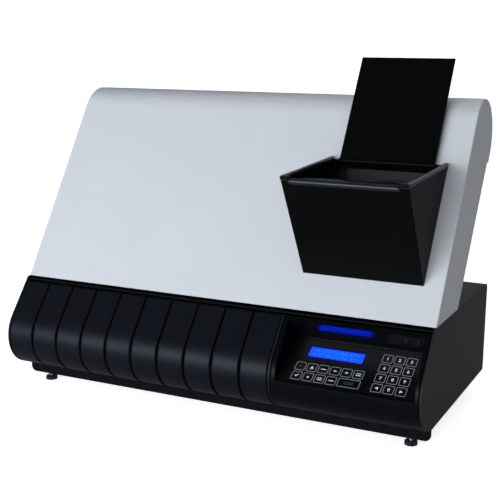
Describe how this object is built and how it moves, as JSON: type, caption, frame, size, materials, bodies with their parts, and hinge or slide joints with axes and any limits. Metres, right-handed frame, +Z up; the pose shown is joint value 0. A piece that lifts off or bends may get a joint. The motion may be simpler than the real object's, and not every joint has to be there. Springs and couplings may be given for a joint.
{
  "type": "coin sorting machine",
  "caption": "Counter-top coin sorter with a leaning round-topped hood, an open-lidded hopper, a row of bull-nosed coin boxes and a sunk keypad with a display.",
  "frame": {"origin": "on the floor, under the middle of the machine's bounding box", "axes": "+X to the machine's right as seen from the front, +Y to its back, +Z up"},
  "size_m": [0.74, 0.393, 0.5768],
  "materials": {
    "black_steel": "fine-textured black powder coat",
    "hood_paint": "pale blue-grey powder coat",
    "hopper_steel": "satin black powder coat",
    "box_plastic": "moulded black, fine grain",
    "overlay_film": "printed polyester film",
    "display_blue": "clear window over a lit blue display",
    "bare_steel": "brushed",
    "zinc_steel": "zinc-plated",
    "chrome_steel": "bright plated",
    "foot_rubber": "moulded",
    "belt_rubber": "ground",
    "turned_alloy": "turned",
    "bowl_plastic": "moulded",
    "board_laminate": "solder-masked laminate",
    "bearing_brass": "turned",
    "motor_paint": "black enamel",
    "socket_plastic": "moulded"
  },
  "bodies": {
    "base": {"base_pan": "black_steel", "side_panel_left": "black_steel", "side_panel_right": "black_steel", "front_rail": "black_steel", "top_deck": "black_steel", "rear_panel": "black_steel", "sorting_deck": "bare_steel", "coin_rail": "bare_steel", "idler_axle": "bare_steel", "hood_hinge_pins": "bare_steel", "console_housing": "box_plastic", "box_guides": "box_plastic", "box_divider": "box_plastic", "keypad_overlay": "overlay_film", "display_window": "display_blue", "bay_wall": "zinc_steel", "frame_left": "zinc_steel", "frame_right": "zinc_steel", "rear_cover": "zinc_steel", "lane_dividers": "zinc_steel", "pulley_brackets": "zinc_steel", "power_supply": "zinc_steel", "rear_screws": "zinc_steel", "foot_stems": "chrome_steel", "foot_pads": "foot_rubber", "transport_belt": "belt_rubber", "coin_bowl": "bowl_plastic", "sensor_head": "bowl_plastic", "display_module": "bowl_plastic", "control_board": "board_laminate", "main_board": "board_laminate", "feed_bearing": "bearing_brass", "board_standoffs": "bearing_brass", "feed_motor": "motor_paint", "belt_motor": "motor_paint", "power_inlet": "socket_plastic", "switch_frame": "socket_plastic"},
    "hood": {"hood_shell": "hood_paint", "hood_hinge_ears": "zinc_steel", "hopper_body": "hopper_steel", "hopper_tray": "bare_steel", "lid_hinge_pin": "bare_steel", "lid_bumpers": "foot_rubber"},
    "lid": {"hopper_lid": "hopper_steel"},
    "coin_box_01": {"coin_box_01": "box_plastic"},
    "coin_box_02": {"coin_box_02": "box_plastic"},
    "coin_box_03": {"coin_box_03": "box_plastic"},
    "coin_box_04": {"coin_box_04": "box_plastic"},
    "coin_box_05": {"coin_box_05": "box_plastic"},
    "coin_box_06": {"coin_box_06": "box_plastic"},
    "coin_box_07": {"coin_box_07": "box_plastic"},
    "coin_box_08": {"coin_box_08": "box_plastic"},
    "coin_box_09": {"coin_box_09": "box_plastic"},
    "coin_box_10": {"coin_box_10": "box_plastic"},
    "feeder": {"feed_disc": "bowl_plastic", "feed_shaft": "bare_steel"},
    "belt_drive": {"drive_pulley": "turned_alloy", "drive_shaft": "bare_steel"},
    "belt_idler": {"idler_pulley": "turned_alloy"},
    "switch": {"switch_rocker": "socket_plastic"}
  },
  "joints": [
    {"name": "hood_hinge", "type": "hinge", "parent": "base", "child": "hood", "pos_m": [0, 0.12969, 0.40611], "axis": [-1, 0, 0], "range_deg": [0, 60]},
    {"name": "lid_hinge", "type": "hinge", "parent": "hood", "child": "lid", "pos_m": [0.2407, -0.00001, 0.41262], "axis": [1, 0, 0], "range_deg": [0, 122]},
    {"name": "coin_box_01_slide", "type": "slide", "parent": "base", "child": "coin_box_01", "axis": [0, -1, 0], "range_m": [0, 0.17]},
    {"name": "coin_box_02_slide", "type": "slide", "parent": "base", "child": "coin_box_02", "axis": [0, -1, 0], "range_m": [0, 0.17]},
    {"name": "coin_box_03_slide", "type": "slide", "parent": "base", "child": "coin_box_03", "axis": [0, -1, 0], "range_m": [0, 0.17]},
    {"name": "coin_box_04_slide", "type": "slide", "parent": "base", "child": "coin_box_04", "axis": [0, -1, 0], "range_m": [0, 0.17]},
    {"name": "coin_box_05_slide", "type": "slide", "parent": "base", "child": "coin_box_05", "axis": [0, -1, 0], "range_m": [0, 0.17]},
    {"name": "coin_box_06_slide", "type": "slide", "parent": "base", "child": "coin_box_06", "axis": [0, -1, 0], "range_m": [0, 0.17]},
    {"name": "coin_box_07_slide", "type": "slide", "parent": "base", "child": "coin_box_07", "axis": [0, -1, 0], "range_m": [0, 0.17]},
    {"name": "coin_box_08_slide", "type": "slide", "parent": "base", "child": "coin_box_08", "axis": [0, -1, 0], "range_m": [0, 0.17]},
    {"name": "coin_box_09_slide", "type": "slide", "parent": "base", "child": "coin_box_09", "axis": [0, -1, 0], "range_m": [0, 0.17]},
    {"name": "coin_box_10_slide", "type": "slide", "parent": "base", "child": "coin_box_10", "axis": [0, -1, 0], "range_m": [0, 0.17]},
    {"name": "feed_turn", "type": "hinge", "parent": "base", "child": "feeder", "pos_m": [0.2407, -0.00073, 0.30885], "axis": [0, 0.8443, -0.5358], "continuous": true},
    {"name": "drive_turn", "type": "hinge", "parent": "base", "child": "belt_drive", "pos_m": [-0.3355, 0.02257, 0.37224], "axis": [0, 0.5358, 0.8443], "continuous": true},
    {"name": "idler_turn", "type": "hinge", "parent": "base", "child": "belt_idler", "pos_m": [0.09595, 0.02257, 0.37224], "axis": [0, 0.5358, 0.8443], "continuous": true},
    {"name": "switch_rock", "type": "hinge", "parent": "base", "child": "switch", "pos_m": [0.3, 0.1915, 0.117], "axis": [-1, 0, 0], "range_deg": [0, 16]}
  ],
  "couplings": [
    {"joint": "idler_turn", "follows": "drive_turn", "ratio": 1}
  ]
}
